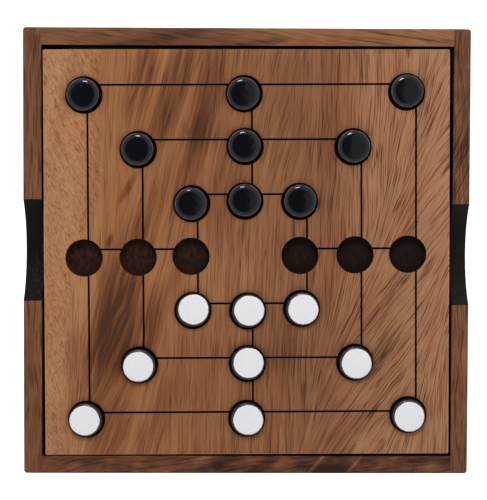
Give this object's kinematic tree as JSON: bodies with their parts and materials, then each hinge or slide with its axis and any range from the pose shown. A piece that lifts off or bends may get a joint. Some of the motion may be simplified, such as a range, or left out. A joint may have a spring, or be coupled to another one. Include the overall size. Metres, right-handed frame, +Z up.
{
  "type": "mill board game",
  "caption": "Boxed mill board: a shallow wooden box with finger scoops, a lift-out board with drilled points and grooved lines, and black and white disc pieces.",
  "frame": {"origin": "middle of the box's underside, on the surface it stands on", "axes": "+X to the player's right and +Y to the back rail as seen from above, +Z up out of the play board"},
  "size_m": [0.24, 0.24, 0.0368],
  "materials": {
    "rail_wood": "oiled dark brown hardwood, satin; the finger scoops are painted black",
    "board_wood": "oiled tan hardwood with dark streaks, satin; grooves blackened and pockets stained dark brown",
    "panel_wood": "plain unfinished thin board",
    "black_lacquer": "turned wood under high gloss black lacquer",
    "white_paint": "turned wood, black lacquered with a matt white painted top"
  },
  "bodies": {
    "box": {"left_rail": "rail_wood", "right_rail": "rail_wood", "back_rail": "rail_wood", "front_rail": "rail_wood", "base_panel": "panel_wood", "back_ledge": "rail_wood", "front_ledge": "rail_wood"},
    "board": {"play_board": "board_wood"},
    "black_1": {"black_piece_1": "black_lacquer"},
    "black_2": {"black_piece_2": "black_lacquer"},
    "black_3": {"black_piece_3": "black_lacquer"},
    "black_4": {"black_piece_4": "black_lacquer"},
    "black_5": {"black_piece_5": "black_lacquer"},
    "black_6": {"black_piece_6": "black_lacquer"},
    "black_7": {"black_piece_7": "black_lacquer"},
    "black_8": {"black_piece_8": "black_lacquer"},
    "black_9": {"black_piece_9": "black_lacquer"},
    "white_1": {"white_piece_1": "white_paint"},
    "white_2": {"white_piece_2": "white_paint"},
    "white_3": {"white_piece_3": "white_paint"},
    "white_4": {"white_piece_4": "white_paint"},
    "white_5": {"white_piece_5": "white_paint"},
    "white_6": {"white_piece_6": "white_paint"},
    "white_7": {"white_piece_7": "white_paint"},
    "white_8": {"white_piece_8": "white_paint"},
    "white_9": {"white_piece_9": "white_paint"}
  },
  "joints": [
    {"name": "board_lift", "type": "slide", "parent": "box", "child": "board", "axis": [0, 0, 1], "range_m": [0, 0.045]},
    {"name": "black_1_lift", "type": "slide", "parent": "board", "child": "black_1", "axis": [0, 0, 1], "range_m": [0, 0.025]},
    {"name": "black_2_lift", "type": "slide", "parent": "board", "child": "black_2", "axis": [0, 0, 1], "range_m": [0, 0.025]},
    {"name": "black_3_lift", "type": "slide", "parent": "board", "child": "black_3", "axis": [0, 0, 1], "range_m": [0, 0.025]},
    {"name": "black_4_lift", "type": "slide", "parent": "board", "child": "black_4", "axis": [0, 0, 1], "range_m": [0, 0.025]},
    {"name": "black_5_lift", "type": "slide", "parent": "board", "child": "black_5", "axis": [0, 0, 1], "range_m": [0, 0.025]},
    {"name": "black_6_lift", "type": "slide", "parent": "board", "child": "black_6", "axis": [0, 0, 1], "range_m": [0, 0.025]},
    {"name": "black_7_lift", "type": "slide", "parent": "board", "child": "black_7", "axis": [0, 0, 1], "range_m": [0, 0.025]},
    {"name": "black_8_lift", "type": "slide", "parent": "board", "child": "black_8", "axis": [0, 0, 1], "range_m": [0, 0.025]},
    {"name": "black_9_lift", "type": "slide", "parent": "board", "child": "black_9", "axis": [0, 0, 1], "range_m": [0, 0.025]},
    {"name": "white_1_lift", "type": "slide", "parent": "board", "child": "white_1", "axis": [0, 0, 1], "range_m": [0, 0.025]},
    {"name": "white_2_lift", "type": "slide", "parent": "board", "child": "white_2", "axis": [0, 0, 1], "range_m": [0, 0.025]},
    {"name": "white_3_lift", "type": "slide", "parent": "board", "child": "white_3", "axis": [0, 0, 1], "range_m": [0, 0.025]},
    {"name": "white_4_lift", "type": "slide", "parent": "board", "child": "white_4", "axis": [0, 0, 1], "range_m": [0, 0.025]},
    {"name": "white_5_lift", "type": "slide", "parent": "board", "child": "white_5", "axis": [0, 0, 1], "range_m": [0, 0.025]},
    {"name": "white_6_lift", "type": "slide", "parent": "board", "child": "white_6", "axis": [0, 0, 1], "range_m": [0, 0.025]},
    {"name": "white_7_lift", "type": "slide", "parent": "board", "child": "white_7", "axis": [0, 0, 1], "range_m": [0, 0.025]},
    {"name": "white_8_lift", "type": "slide", "parent": "board", "child": "white_8", "axis": [0, 0, 1], "range_m": [0, 0.025]},
    {"name": "white_9_lift", "type": "slide", "parent": "board", "child": "white_9", "axis": [0, 0, 1], "range_m": [0, 0.025]}
  ]
}
